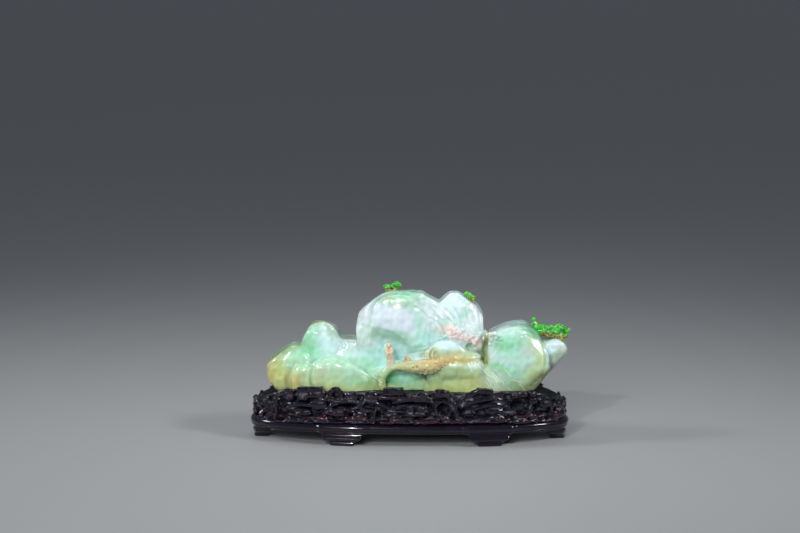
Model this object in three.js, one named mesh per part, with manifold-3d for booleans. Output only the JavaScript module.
// A jadeite boulder carved as a mountain, resting in the recess of its openwork
// hardwood stand. Millimetres, +Z up, the viewer in front at -Y.
// Origin: on the surface it stands on, under the middle of the object.

import * as THREE from 'three';
import { mergeVertices } from 'three/addons/utils/BufferGeometryUtils.js';
import Module from 'manifold-3d';

const wasm = await Module();
wasm.setup();

// ------------------------------------------------------------ driving sizes
const PLATE_HALF_LENGTH = 125.0;    // base plate, plan
const PLATE_HALF_DEPTH = 43.0;
const PLATE_SQUARENESS = 2.3;       // exponent of the plan curve
const PLATE_BOTTOM = 9.6;
const PLATE_TOP = 17.6;
const LOBE_OUT = 1.6;               // the plate swells this much over each long-side foot
const LOBE_HALF = 20.0;
const FOOT_X = [-51.0, 63.0];       // feet on the long sides, front and back alike
const FOOT_TOP_HALF = 18.0;
const FOOT_TOE_HALF = 9.0;
const FOOT_BAND = 11.0;             // thickness of a foot behind the plate edge
const FOOT_INSET = 3.0;
const END_FOOT_HALF = 12.5;

const GALLERY_HALF_LENGTH = 120.5;  // openwork rim above the plate
const GALLERY_HALF_DEPTH = 39.6;
const GALLERY_TOP = 40.2;
const RIM_FLARE = 1.2;

const JADE_UNDERSIDE = 36.0;        // flat underside of the boulder, in the stand's recess
const SEAT_GAP = 0.3;               // under the boulder
const FIT_GAP = 0.45;               // round the boulder in the recess
const SEAT_BEARINGS = 56;            // directions in which the recess is fitted
const SEAT_HIGH = 42.5;             // height up to which the gallery can touch the rock
const FACET_SHARPNESS = 16;         // how crisp the rock facets meet

const GOLDEN = 2.399963;

// ------------------------------------------------------------ solids helpers
function solid(geometry, matrix) {
  const g = geometry.index ? geometry.toNonIndexed() : geometry.clone();
  for (const name of Object.keys(g.attributes)) if (name !== 'position') g.deleteAttribute(name);
  if (matrix) g.applyMatrix4(matrix);
  const m = mergeVertices(g, 1e-4);
  return new wasm.Manifold(new wasm.Mesh({
    numProp: 3,
    vertProperties: new Float32Array(m.attributes.position.array),
    triVerts: new Uint32Array(m.index.array),
  }));
}

function union(parts) {
  let list = parts.slice();
  while (list.length > 1) {
    const next = [];
    for (let i = 0; i < list.length; i += 2) {
      next.push(i + 1 < list.length ? list[i].add(list[i + 1]) : list[i]);
    }
    list = next;
  }
  return list[0];
}

function toMesh(body, name, material) {
  const m = body.getMesh();
  const g = new THREE.BufferGeometry();
  g.setAttribute('position', new THREE.BufferAttribute(new Float32Array(m.vertProperties), 3));
  g.setIndex(new THREE.BufferAttribute(new Uint32Array(m.triVerts), 1));
  g.computeVertexNormals();
  const mesh = new THREE.Mesh(g, material);
  mesh.name = name;
  return mesh;
}

function box(x0, x1, y0, y1, z0, z1) {
  return solid(new THREE.BoxGeometry(x1 - x0, y1 - y0, z1 - z0),
    new THREE.Matrix4().makeTranslation((x0 + x1) / 2, (y0 + y1) / 2, (z0 + z1) / 2));
}

function place(at, scale = [1, 1, 1], turn = [0, 0, 0]) {
  return new THREE.Matrix4().compose(new THREE.Vector3(...at),
    new THREE.Quaternion().setFromEuler(new THREE.Euler(...turn)), new THREE.Vector3(...scale));
}

function lump(at, half, turn = [0, 0, 0], detail = 1) {
  return solid(new THREE.IcosahedronGeometry(1, detail), place(at, half, turn));
}

function tube(points, radius, sides = 6, steps = 7) {
  const section = new THREE.Shape();
  for (let i = 0; i < sides; i++) {
    const a = (i + 0.5) / sides * 2 * Math.PI;
    if (i) section.lineTo(radius * Math.cos(a), radius * Math.sin(a));
    else section.moveTo(radius * Math.cos(a), radius * Math.sin(a));
  }
  const path = new THREE.CatmullRomCurve3(points.map((p) => new THREE.Vector3(...p)));
  return solid(new THREE.ExtrudeGeometry(section, { steps, bevelEnabled: false, extrudePath: path }));
}

// ------------------------------------------------------------ the mountain
// Each rock is a convex boulder given as the front view of its facets: a list
// of [bearing in degrees, reach in mm] round its centre, with its front and
// back reach. detail sets how finely its surface is divided.
const ROCKS = {
  west_boulder: { at: [-91.7, -2, 51.8], front: 18, back: 24, detail: 3,
    cuts: [[-145, 22.0], [-133, 21.3], [-92, 20.7], [-17, 21.2], [20, 20.4], [54, 22.7], [90, 23.4], [119, 21.2], [133, 20.5], [-180, 22.5]] },
  west_roll: { at: [-99.2, -8.5, 48.8], front: 12, back: 14, detail: 1,
    cuts: [[-171, 13.4], [-135, 12.8], [-95, 13.6], [-3, 13.0], [14, 12.5], [52, 13.6], [90, 14.5], [124, 15.2], [164, 14.9]] },
  west_fold: { at: [-83.2, -13, 46.8], front: 12, back: 12, detail: 1,
    cuts: [[-178, 9.8], [-90, 13.2], [-13, 10.0], [8, 10.2], [58, 14.2], [107, 13.8], [149, 11.1]] },
  left_peak: { at: [-66.5, 6, 62.6], front: 20, back: 18, detail: 3,
    cuts: [[-178, 21.1], [-90, 23.1], [-4, 23.1], [29, 21.0], [34, 21.3], [63, 26.5], [86, 29.0], [114, 28.8], [148, 24.1], [163, 22.1]] },
  left_saddle: { at: [-41.9, 4, 55.3], front: 19, back: 20, detail: 2,
    cuts: [[-90, 19.5], [0, 23.6], [39, 20.0], [54, 20.4], [83, 23.9], [90, 24.7], [154, 23.3], [177, 20.6]] },
  left_front: { at: [-53.5, -17, 47.7], front: 14.5, back: 15, detail: 2,
    cuts: [[-177, 29.5], [-90, 14.6], [10, 31.9], [45, 22.0], [57, 18.8], [65, 17.7], [69, 17.7], [87, 20.0], [115, 22.9], [126, 24.4], [161, 28.0]] },
  ledge: { at: [2.3, -20, 56.7], front: 13, back: 12, detail: 2,
    cuts: [[-85, 5.3], [-54, 14.3], [22, 26.8], [92, 5.6], [109, 8.9], [150, 20.2]] },
  grotto_wall: { at: [-0.8, -2, 42.3], front: 14, back: 14, detail: 1,
    cuts: [[-90, 13.4], [0, 26.1], [90, 13.4], [-180, 26.1]] },
  mid_rock: { at: [32.5, -15, 67.1], front: 15, back: 15, detail: 2,
    cuts: [[-124, 17.0], [-88, 8.9], [-78, 10.8], [-16, 23.3], [58, 12.3], [59, 12.0], [76, 11.8], [100, 12.3], [123, 13.7], [142, 16.1], [173, 20.3]] },
  right_front: { at: [42.5, -17, 44.8], front: 14, back: 14, detail: 3,
    cuts: [[-90, 12.8], [29, 25.0], [49, 20.3], [70, 17.8], [93, 17.0], [113, 19.4], [139, 24.1], [170, 28.4]] },
  main_peak: { at: [-4.8, 3, 79.4], front: 21, back: 22, detail: 4,
    cuts: [[-173, 38.0], [-162, 38.6], [-90, 31.6], [-3, 37.2], [20, 36.5], [63, 38.0], [90, 35.1], [113, 37.2], [122, 37.2], [139, 39.3], [169, 39.1], [-180, 38.3]] },
  main_brow: { at: [-6.7, -9, 93.1], front: 14, back: 16, detail: 2,
    cuts: [[-109, 15.5], [-56, 23.6], [-5, 22.2], [38, 20.8], [80, 18.6], [104, 18.6], [131, 20.6], [167, 24.9]] },
  second_peak: { at: [36.0, 1, 78.8], front: 21, back: 20, detail: 3,
    cuts: [[-90, 30.7], [-4, 22.4], [1, 22.5], [20, 26.5], [54, 30.3], [87, 36.1], [130, 31.8], [147, 27.7], [-180, 21.6]] },
  right_boulder: { at: [82.9, -2, 61.4], front: 26, back: 24, detail: 3,
    cuts: [[-177, 23.7], [-166, 25.4], [-99, 33.4], [-75, 29.3], [-49, 27.3], [-33, 26.9], [6, 27.6], [32, 28.1], [55, 29.5], [85, 31.5], [102, 30.2], [118, 30.7], [-180, 24.0]] },
  knob: { at: [110.7, 3, 64.8], front: 14, back: 14, detail: 2,
    cuts: [[-76, 14.7], [-47, 9.0], [-43, 8.9], [0, 13.3], [32, 14.4], [63, 14.6], [103, 13.4], [167, 9.1], [-180, 10.5]] },
  east_keel: { at: [101.8, 5, 53.4], front: 13, back: 14, detail: 1,
    cuts: [[-110, 23.4], [-45, 7.3], [16, 24.2], [86, 18.4], [126, 8.9], [160, 12.4]] },
  heart: { at: [1.1, 4, 48.1], front: 16, back: 20, detail: 2,
    cuts: [[-163, 105.3], [-90, 18.6], [-49, 69.8], [-9, 96.3], [75, 36.2], [92, 21.0], [100, 25.6], [129, 62.8]] },
  // the side away from the viewer, plainer
  back_west: { at: [-62.0, 17, 47.0], front: 14, back: 15, detail: 1,
    cuts: [[-90, 14], [0, 28], [40, 24], [75, 22], [105, 23], [140, 27], [180, 30]] },
  back_mid: { at: [-6.0, 18, 60.0], front: 15, back: 15, detail: 2,
    cuts: [[-90, 26], [0, 30], [35, 31], [70, 34], [100, 33], [140, 33], [180, 31]] },
  back_east: { at: [46.0, 16, 52.0], front: 14, back: 16, detail: 1,
    cuts: [[-90, 20], [0, 27], [40, 26], [80, 27], [120, 28], [180, 27]] },
  back_far_east: { at: [84.0, 14, 50.0], front: 13, back: 14, detail: 1,
    cuts: [[-90, 16], [-40, 18], [10, 20], [50, 20], [90, 20], [140, 20], [180, 20]] },
};

// planes of one rock: every front-view facet is bevelled towards the front and
// the back, and the front and back faces are each cut in three tilted planes
function rockPlanes(rock, grow) {
  const planes = [];
  const add = (x, y, z, d) => {
    const l = Math.hypot(x, y, z);
    planes.push([x / l, y / l, z / l, d + grow]);
  };
  const slope = 48 * Math.PI / 180;
  const c = Math.cos(slope);
  const s = Math.sin(slope);
  rock.cuts.forEach(([bearing, reach], i) => {
    const a = bearing * Math.PI / 180;
    const x = Math.cos(a);
    const z = Math.sin(a);
    const vary = 0.86 + 0.05 * Math.sin(i * 2.4 + rock.at[0]);
    add(x, 0, z, reach);
    add(x * c, -s, z * c, (reach * c + rock.front * s) * vary);
    add(x * c, s, z * c, (reach * c + rock.back * s) * vary);
  });
  for (let i = 0; i < 3; i++) {
    const a = 0.7 + i * 2.1 + rock.at[0] * 0.13;
    const t = 0.26;
    add(Math.cos(a) * t, -1, Math.sin(a) * t, rock.front * 0.985);
    add(Math.cos(a + 1) * t, 1, Math.sin(a + 1) * t, rock.back * 0.985);
  }
  return planes;
}

function rockSolid(rock, grow = 0) {
  const planes = rockPlanes(rock, grow);
  const reach = rock.cuts.map((k) => k[1]);
  const wide = rock.cuts.reduce((m, k) => Math.max(m, Math.abs(k[1] * Math.cos(k[0] * Math.PI / 180))), 1);
  const tall = rock.cuts.reduce((m, k) => Math.max(m, Math.abs(k[1] * Math.sin(k[0] * Math.PI / 180))), 1);
  const deep = (rock.front + rock.back) / 2;
  const g = new THREE.IcosahedronGeometry(1, rock.detail);
  const p = g.attributes.position;
  const u = new THREE.Vector3();
  for (let i = 0; i < p.count; i++) {
    u.fromBufferAttribute(p, i).multiply(new THREE.Vector3(wide, deep, tall)).normalize();
    let f = 0;
    for (const [x, y, z, d] of planes) {
      const t = (u.x * x + u.y * y + u.z * z) / d;
      if (t > 0) f += t ** FACET_SHARPNESS;
    }
    const r = 1 / f ** (1 / FACET_SHARPNESS);
    p.setXYZ(i, rock.at[0] + u.x * r, rock.at[1] + u.y * r, rock.at[2] + u.z * r);
  }
  return solid(g);
}

// gouges: long spindle cuts for the flutes of the peaks and the cleft
function gouge(from, to, width, depth) {
  const a = new THREE.Vector3(...from);
  const b = new THREE.Vector3(...to);
  const along = b.clone().sub(a);
  const q = new THREE.Quaternion().setFromUnitVectors(new THREE.Vector3(1, 0, 0), along.clone().normalize());
  const m = new THREE.Matrix4().compose(a.add(b).multiplyScalar(0.5), q,
    new THREE.Vector3(along.length() / 2, depth * 1.1, width * 1.1));
  return solid(new THREE.IcosahedronGeometry(1, 0), m);
}

const FLUTES = [
  // from, to, width, depth: down the right-hand side of the twin peak
  [[34, -22.5, 101], [24, -26, 84], 2.4, 2.6],
  [[43, -22.0, 98], [35, -25.5, 82], 2.2, 2.4],
  [[51, -20.5, 97], [45, -23.5, 80], 2.2, 2.6],
  [[57, -15.0, 92], [54, -18.0, 76], 2.0, 2.4],
  [[12, -22.5, 104], [8, -25, 92], 2.2, 2.2],
];

function pine(clouds, trunk, radius) {
  const parts = clouds.map(([x, y, z, w, h]) => lump([x, y, z], [w, w * 0.9, h], [0.2 * x, 0, 0.3 * x], w > 4 ? 1 : 0));
  parts.push(tube(trunk, radius, 5, 4));
  return union(parts);
}

const PINES = [
  pine([[-18.0, 1, 118.6, 3.8, 2.4], [-14.0, 2, 119.3, 3.6, 2.4], [-9.6, 1, 120.2, 3.6, 2.4]],
    [[-15.5, 3, 108], [-14.0, 2, 113], [-15.0, 1, 116], [-13.5, 1, 119]], 2.4),
  pine([[45.4, 0, 112.2, 3.0, 2.8], [48.4, -1, 109.6, 3.6, 3.0]],
    [[45.5, 0, 100], [47.4, -1, 104], [46.6, 0, 107], [47.4, 0, 110]], 2.3),
  pine([[96.8, 2, 92.2, 3.0, 3.0], [100.4, 1, 88.6, 3.6, 3.4], [105.4, 0, 86.0, 3.6, 3.0], [111.0, -1, 86.2, 3.8, 3.4],
    [117.4, 0, 86.4, 5.0, 4.1], [122.0, 1, 83.2, 3.4, 2.8]],
    [[97, 2, 82], [103, 1, 83], [110, 0, 82.5], [119, 1, 81.5]], 3.4),
];

// a robed figure on the ledge, and a small seated one beside it
const robe = solid(new THREE.LatheGeometry([
  [0, 0], [4.0, 0], [4.3, 0.9], [3.5, 4], [3.0, 8], [3.3, 11.5], [2.9, 13.2], [1.4, 14.0], [0, 14.2],
].map(([r, z]) => new THREE.Vector2(r, z)), 8), place([-15.4, -25.6, 59.4], [1, 1, 0.85], [Math.PI / 2, 0, 0]));
const FIGURES = [
  robe,
  lump([-15.7, -25.8, 74.9], [2.0, 2.0, 2.6], [0, 0, 0], 1),
  lump([-15.6, -25.4, 77.6], [1.0, 1.0, 0.9], [0, 0, 0], 0),
  lump([-15.9, -28.2, 69.2], [2.9, 1.5, 1.6], [0, 0, 0], 0),
  lump([-1.6, -24.5, 62.6], [3.3, 2.8, 3.0], [0, 0, 0], 0),
  lump([-1.5, -25.0, 65.6], [1.6, 1.6, 1.8], [0, 0, 0], 0),
];

const rocks = union([...Object.values(ROCKS).map((rock) => rockSolid(rock)), lump([22.5, -7, 49.2], [6, 4, 5], [0, 0, 0], 0)]);
const gouges = union(FLUTES.map(([a, b, w, d]) => gouge(a, b, w, d)));
const grotto = lump([-2.0, -31.0, 45.5], [19.0, 13.0, 10.5], [0, 0, 0], 1);
const hollow = lump([-9.0, -31.5, 70.0], [14.5, 9.5, 12.0], [0, 0.25, 0], 1);
const arch = lump([48.5, -24.0, 73.2], [3.9, 7.0, 2.4], [0, 0.1, 0], 1);
const jade = union([
  rocks.subtract(gouges).subtract(hollow).subtract(grotto).subtract(arch),
  // the path that bridges the grotto stays whole
  rockSolid(ROCKS.ledge),
  ...PINES, ...FIGURES,
]).intersect(box(-130, 130, -60, 60, JADE_UNDERSIDE, 140));

// ------------------------------------------------------------ the stand
function planHalf(x, length, depth) {
  const t = Math.min(Math.abs(x / length), 1);
  return depth * (1 - t ** PLATE_SQUARENESS) ** (1 / PLATE_SQUARENESS);
}

function planOutline(length, depth, lobes, count = 64) {
  const pts = [];
  for (let i = 0; i < count; i++) {
    const a = (i / count) * 2 * Math.PI;
    const c = Math.cos(a);
    const s = Math.sin(a);
    let x = length * Math.sign(c) * Math.abs(c) ** (2 / PLATE_SQUARENESS);
    let y = depth * Math.sign(s) * Math.abs(s) ** (2 / PLATE_SQUARENESS);
    if (lobes) {
      for (const fx of FOOT_X) {
        const t = Math.abs(x - fx) / LOBE_HALF;
        if (t < 1) y += Math.sign(s) * LOBE_OUT * Math.min(1, 3 * (1 - t));
      }
    }
    pts.push(new THREE.Vector2(x, y));
  }
  return pts;
}

function slab(points, z0, z1) {
  const g = new THREE.ExtrudeGeometry(new THREE.Shape(points), { depth: z1 - z0, steps: 1, curveSegments: 1, bevelEnabled: false });
  return solid(g, new THREE.Matrix4().makeTranslation(0, 0, z0));
}

// a closed turning of the plan curve: rows of [z, inset] from the bottom up
function moulding(rows, length, depth, lobes, count) {
  const rings = rows.map(([z, inset]) => planOutline(length - inset, depth - inset, lobes, count).map((p) => [p.x, p.y, z]));
  const pos = [];
  const quad = (a, b, c, d) => { pos.push(...a, ...b, ...c, ...a, ...c, ...d); };
  for (let r = 0; r + 1 < rings.length; r++) {
    for (let i = 0; i < count; i++) {
      const j = (i + 1) % count;
      quad(rings[r][i], rings[r][j], rings[r + 1][j], rings[r + 1][i]);
    }
  }
  const low = rings[0];
  const high = rings[rings.length - 1];
  for (let i = 1; i + 1 < count; i++) {
    pos.push(...low[0], ...low[i + 1], ...low[i]);
    pos.push(...high[0], ...high[i], ...high[i + 1]);
  }
  const g = new THREE.BufferGeometry();
  g.setAttribute('position', new THREE.BufferAttribute(new Float32Array(pos), 3));
  return solid(g);
}

const plate = moulding([[PLATE_BOTTOM, 1.8], [10.4, 0.9], [11.4, 1.5], [13.4, 0.0], [15.8, 0.5], [PLATE_TOP, 2.4]],
  PLATE_HALF_LENGTH, PLATE_HALF_DEPTH, true, 48);

// feet: a bracket profile cut from a band that follows the plate's edge
function footProfile(topHalf, toeHalf) {
  const right = [[topHalf, PLATE_BOTTOM + 1], [topHalf - 0.4, 8.0], [topHalf - 2.2, 6.6], [topHalf - 2.2, 4.6],
    [topHalf - 5.0, 3.4], [toeHalf + 1.9, 2.6], [toeHalf, 0]];
  const left = right.map(([x, z]) => [-x, z]).reverse();
  return [...right, ...left].map(([x, z]) => new THREE.Vector2(x, z));
}
const footBand = slab(planOutline(PLATE_HALF_LENGTH - FOOT_INSET, PLATE_HALF_DEPTH - FOOT_INSET + LOBE_OUT, false, 32), 0, PLATE_BOTTOM + 1)
  .subtract(slab(planOutline(PLATE_HALF_LENGTH - FOOT_INSET - FOOT_BAND, PLATE_HALF_DEPTH - FOOT_INSET - FOOT_BAND, false, 32), -1, PLATE_BOTTOM + 2));
const feet = union([
  ...FOOT_X.map((fx) => {
    const g = new THREE.ExtrudeGeometry(new THREE.Shape(footProfile(FOOT_TOP_HALF, FOOT_TOE_HALF)), { depth: 120, bevelEnabled: false });
    return solid(g, new THREE.Matrix4().makeTranslation(fx, 60, 0).multiply(new THREE.Matrix4().makeRotationX(Math.PI / 2)));
  }),
  ...[-1, 1].map((side) => {
    const g = new THREE.ExtrudeGeometry(new THREE.Shape(footProfile(END_FOOT_HALF + 4, END_FOOT_HALF - 4)), { depth: 40, bevelEnabled: false });
    const turn = new THREE.Matrix4().makeRotationZ(side * Math.PI / 2).multiply(new THREE.Matrix4().makeRotationX(Math.PI / 2));
    return solid(g, new THREE.Matrix4().makeTranslation(side * 95, 0, 0).multiply(turn));
  }),
]).intersect(footBand);

// the gallery: a rim band with a flared top, pierced with deep pockets between
// scrolling branches, ring knots and rounded fungus heads
const GAL_MID = (PLATE_TOP + GALLERY_TOP) / 2;
const galleryCore = moulding([[PLATE_TOP - 1, 2.6], [PLATE_TOP + 3, 1.4], [PLATE_TOP + 5.6, 3.4], [GALLERY_TOP - 7.6, 3.2],
  [GALLERY_TOP - 4.5, RIM_FLARE], [GALLERY_TOP - 1.2, RIM_FLARE], [GALLERY_TOP, 3.0]],
GALLERY_HALF_LENGTH, GALLERY_HALF_DEPTH, false, 32);

// a point on the gallery's outer face at plan position x, with its outward bearing
function onRim(x, side, out = 0) {
  const l = GALLERY_HALF_LENGTH;
  const y = planHalf(x, l, GALLERY_HALF_DEPTH);
  const e = 0.5;
  const slope = (planHalf(Math.min(Math.abs(x) + e, l), l, GALLERY_HALF_DEPTH) - planHalf(Math.abs(x) - e, l, GALLERY_HALF_DEPTH)) / (2 * e);
  const nx = Math.sign(x) * -slope;
  const len = Math.hypot(nx, 1);
  return { x: x + nx / len * out, y: side * (y + out / len), turn: Math.atan2(side * 1, nx) };
}

function ringKnot(x, side, z, radius, bar) {
  const p = onRim(x, side, -0.6);
  const g = new THREE.TorusGeometry(radius, bar, 4, 8);
  const q = new THREE.Matrix4().makeRotationZ(p.turn).multiply(new THREE.Matrix4().makeRotationY(Math.PI / 2));
  return solid(g, new THREE.Matrix4().makeTranslation(p.x, p.y, z).multiply(q));
}

function head(x, side, z, w, h, out = 2.4, detail = 0) {
  const p = onRim(x, side, -0.6);
  return lump([p.x, p.y, z], [out, w, h], [0, 0, p.turn], detail);
}

function pocket(x, side, z, w, h, depth = 9, detail = 0) {
  const p = onRim(x, side, 1.5);
  return lump([p.x, p.y, z], [depth, w, h], [0, 0, p.turn], detail);
}

// front of the gallery, from left to right: [x, z, half width, half height, out]
const FRONT_RINGS = [[-112.5, 38.6, 4.0, 1.5], [-105.0, 34.8, 3.4, 1.4], [-97.0, 39.0, 3.6, 1.4], [-88.0, 37.6, 4.4, 1.6], [79.0, 39.0, 4.0, 1.6], [93.0, 39.0, 4.2, 1.6], [105.0, 39.0, 3.8, 1.5]];
const FRONT_HEADS = [[-57.7, 41.6, 5.2, 3.8], [-43.3, 40.4, 4.6, 3.4], [-30, 40.6, 5.8, 3.8], [23, 41.2, 6.0, 4.0], [8.2, 40.2, 6.2, 3.0],
  [35.0, 40.4, 4.2, 3.2], [-78, 41.2, 10.2, 3.6], [-12.5, 42.2, 8.4, 3.4], [58.9, 40.2, 12.5, 4.2], [112.0, 30.0, 6.2, 5.2, 5.6]];
const FRONT_POCKETS = [[-100.2, 30.4, 4.0, 4.8], [-84.0, 31.4, 7.2, 4.0], [-66.5, 32.2, 5.6, 3.6], [-47.6, 32.0, 7.6, 3.4], [-29.0, 31.6, 6.0, 4.4],
  [-12.5, 34.0, 6.0, 3.0], [8.2, 34.4, 5.0, 2.6], [26.5, 30.2, 5.6, 5.8], [50.0, 30.8, 7.6, 4.4], [80.3, 30.0, 6.6, 6.4], [100.5, 30.8, 4.8, 4.6]];

const carving = [];
const pockets = [];
for (const [x, z, r, bar] of FRONT_RINGS) carving.push(ringKnot(x, -1, z, r, bar));
for (const [x, z, w, h, out] of FRONT_HEADS) carving.push(head(x, -1, z, w, h, out || 3.0, w > 8 ? 1 : 0));
for (const [x, z, w, h] of FRONT_POCKETS) pockets.push(pocket(x, -1, z, 1.15 * w, 1.15 * h));
// the back repeats a plainer run of heads and pockets
for (let i = 0; i < 6; i++) {
  const x = -90 + i * 36;
  pockets.push(pocket(x, 1, GAL_MID + 2 + 1.2 * Math.sin(i * 1.7), 12.4, 5.8));
  if (i < 5) carving.push(head(x + 18, 1, GALLERY_TOP - 1.6, 9.0, 3.8, 2.8));
}
for (const end of [-1, 1]) {
  for (const side of [-1, 1]) carving.push(lump([end * 119.8, side * 5.5, 38.0], [3.4, 5.0, 4.6], [0, 0, 0], 0));
  pockets.push(lump([end * 122.5, 0, GAL_MID + 0.6], [9, 6.0, 5.0], [0, 0, 0], 0));
}
// low heads standing on the plate all round
const LOW = 10;
for (let i = 0; i < LOW; i++) {
  const side = i % 2 ? 1 : -1;
  const t = (Math.floor(i / 2) + 0.5) / (LOW / 2);
  const x = -106 + 212 * t + 2.5 * Math.sin(i * GOLDEN);
  carving.push(head(x, side, PLATE_TOP + 3.0, 9.0 + 1.2 * Math.sin(i * 1.9), 3.8, 2.4));
}
// twigs that arch over the pockets
const TWIGS = [
  [[-66, 28.8], [-57, 33.4], [-47, 36.0], [-37, 35.2], [-26, 32.8], [-17, 30.6]],
  [[14, 26.8], [24, 24.3], [34, 27.8], [38, 33.8], [48, 38.6], [60, 41]],
  [[70, 34.8], [80, 37.0], [90, 34.2], [96, 27.8]],
];
for (const twig of TWIGS) {
  carving.push(tube(twig.map(([x, z]) => { const p = onRim(x, -1, -1.6); return [p.x, p.y, z]; }), 2.0, 5, 5));
}

// the boulder's seat: at every bearing the wall clears the widest part of the
// rock that is sunk in the gallery, so that the rock lifts straight out
function insideRocks(x, y, z, list) {
  for (const { at, planes } of list) {
    let f = 0;
    for (const [nx, ny, nz, d] of planes) {
      const t = ((x - at[0]) * nx + (y - at[1]) * ny + (z - at[2]) * nz) / d;
      if (t > 0) f += t ** FACET_SHARPNESS;
    }
    if (f < 1) return true;
  }
  return false;
}
const lowRocks = Object.values(ROCKS).filter((rock) => rock.at[2] < 63)
  .map((rock) => ({ at: rock.at, planes: rockPlanes(rock, FIT_GAP) }));
const seatPoints = [];
for (let i = 0; i < SEAT_BEARINGS; i++) {
  const a = (i / SEAT_BEARINGS) * 2 * Math.PI;
  const dx = Math.cos(a);
  const dy = Math.sin(a) * GALLERY_HALF_DEPTH / GALLERY_HALF_LENGTH;
  let reach = 60;
  for (let z = JADE_UNDERSIDE; z <= SEAT_HIGH; z += 1.5) {
    for (let b = -0.5; b <= 0.5; b += 0.25) {
      const t = a + b * 2 * Math.PI / SEAT_BEARINGS;
      const tx = Math.cos(t);
      const ty = Math.sin(t) * GALLERY_HALF_DEPTH / GALLERY_HALF_LENGTH;
      let r = 134;
      while (r > reach && !insideRocks(r * tx, r * ty, z, lowRocks)) r -= 0.5;
      reach = Math.max(reach, r);
    }
  }
  seatPoints.push(new THREE.Vector2((reach + 0.4) * dx, (reach + 0.4) * dy));
}
const seat = slab(seatPoints, JADE_UNDERSIDE - SEAT_GAP, 60);

const stand = union([galleryCore.subtract(union(pockets)), ...carving, plate, feet])
  .intersect(box(-PLATE_HALF_LENGTH, PLATE_HALF_LENGTH, -60, 60, 0, 60))
  .subtract(seat);

// ------------------------------------------------------------ finish
const jadeite = new THREE.MeshStandardMaterial({ color: new THREE.Color(0.72, 0.85, 0.74), roughness: 0.22, metalness: 0 });
const hardwood = new THREE.MeshStandardMaterial({ color: new THREE.Color(0.055, 0.028, 0.032), roughness: 0.28, metalness: 0 });

const carvingGroup = new THREE.Group();
carvingGroup.add(toMesh(jade, 'jade_mountain', jadeite));
carvingGroup.add(toMesh(stand, 'carved_stand', hardwood));

export default carvingGroup;
